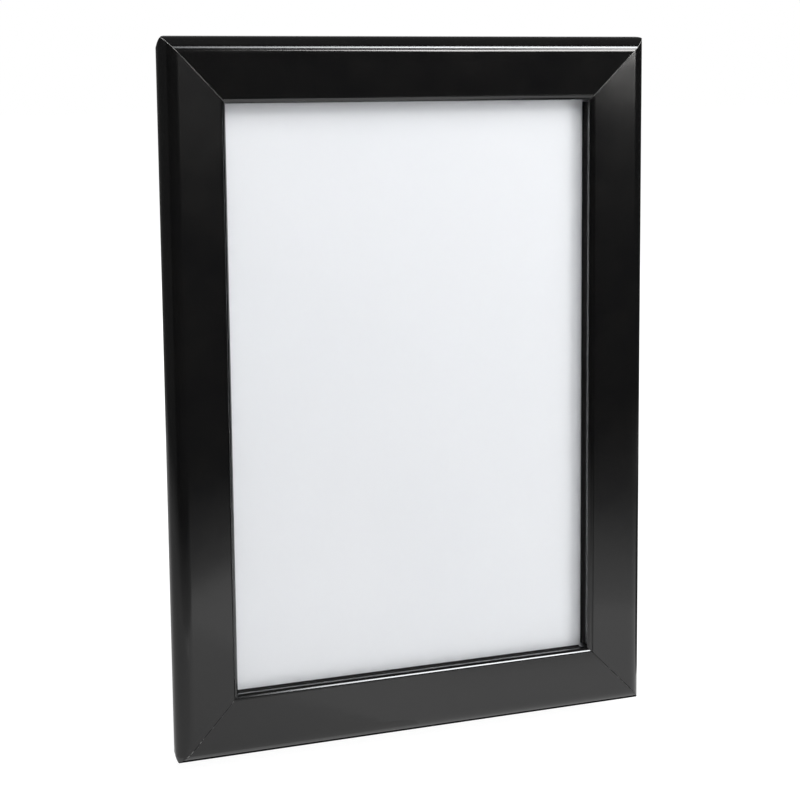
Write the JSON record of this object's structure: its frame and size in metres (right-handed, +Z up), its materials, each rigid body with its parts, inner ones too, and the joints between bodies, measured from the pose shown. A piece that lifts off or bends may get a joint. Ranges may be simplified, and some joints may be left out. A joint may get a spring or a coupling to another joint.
{
  "type": "wall frame",
  "caption": "Black aluminium wall frame with mitred corners whose sides hinge open at the outer edge and snap shut over a portrait sheet under a clear cover",
  "frame": {"origin": "the middle of the frame's back, on the plane of the wall", "axes": "+X runs to the right and +Z upwards as seen from the front; the wall is the plane y = 0 and the front faces -Y"},
  "size_m": [0.246, 0.0146, 0.333],
  "materials": {
    "base_rails": "extruded aluminium with a thin semi-gloss black coat",
    "flaps": "extruded aluminium with a thin semi-gloss black coat, bare on the sawn mitres",
    "corner_keys": "zinc-plated flat steel",
    "springs": "bare spring steel",
    "back_panel": "white sheet plastic",
    "insert_sheet": "blank white paper",
    "cover_sheet": "clear flexible plastic sheet with a slight sheen"
  },
  "bodies": {
    "frame": {"base_rail_bottom": "base_rails", "base_rail_right": "base_rails", "base_rail_top": "base_rails", "base_rail_left": "base_rails", "corner_key_bottom_left": "corner_keys", "corner_key_bottom_right": "corner_keys", "corner_key_top_right": "corner_keys", "corner_key_top_left": "corner_keys", "spring_bottom_1": "springs", "spring_bottom_2": "springs", "spring_right_1": "springs", "spring_right_2": "springs", "spring_top_1": "springs", "spring_top_2": "springs", "spring_left_1": "springs", "spring_left_2": "springs", "back_panel": "back_panel", "insert_sheet": "insert_sheet", "cover_sheet": "cover_sheet"},
    "bottom_side": {"flap_bottom": "flaps"},
    "right_side": {"flap_right": "flaps"},
    "top_side": {"flap_top": "flaps"},
    "left_side": {"flap_left": "flaps"}
  },
  "joints": [
    {"name": "bottom_hinge", "type": "hinge", "parent": "frame", "child": "bottom_side", "pos_m": [0, -0.006, -0.163], "axis": [1, 0, 0], "range_deg": [0, 90], "deforming": ["spring_bottom_1", "spring_bottom_2"]},
    {"name": "right_hinge", "type": "hinge", "parent": "frame", "child": "right_side", "pos_m": [0.1195, -0.006, 0], "axis": [0, 0, 1], "range_deg": [0, 90], "deforming": ["spring_right_1", "spring_right_2"]},
    {"name": "top_hinge", "type": "hinge", "parent": "frame", "child": "top_side", "pos_m": [0, -0.006, 0.163], "axis": [-1, 0, 0], "range_deg": [0, 90], "deforming": ["spring_top_1", "spring_top_2"]},
    {"name": "left_hinge", "type": "hinge", "parent": "frame", "child": "left_side", "pos_m": [-0.1195, -0.006, 0], "axis": [0, 0, -1], "range_deg": [0, 90], "deforming": ["spring_left_1", "spring_left_2"]}
  ]
}
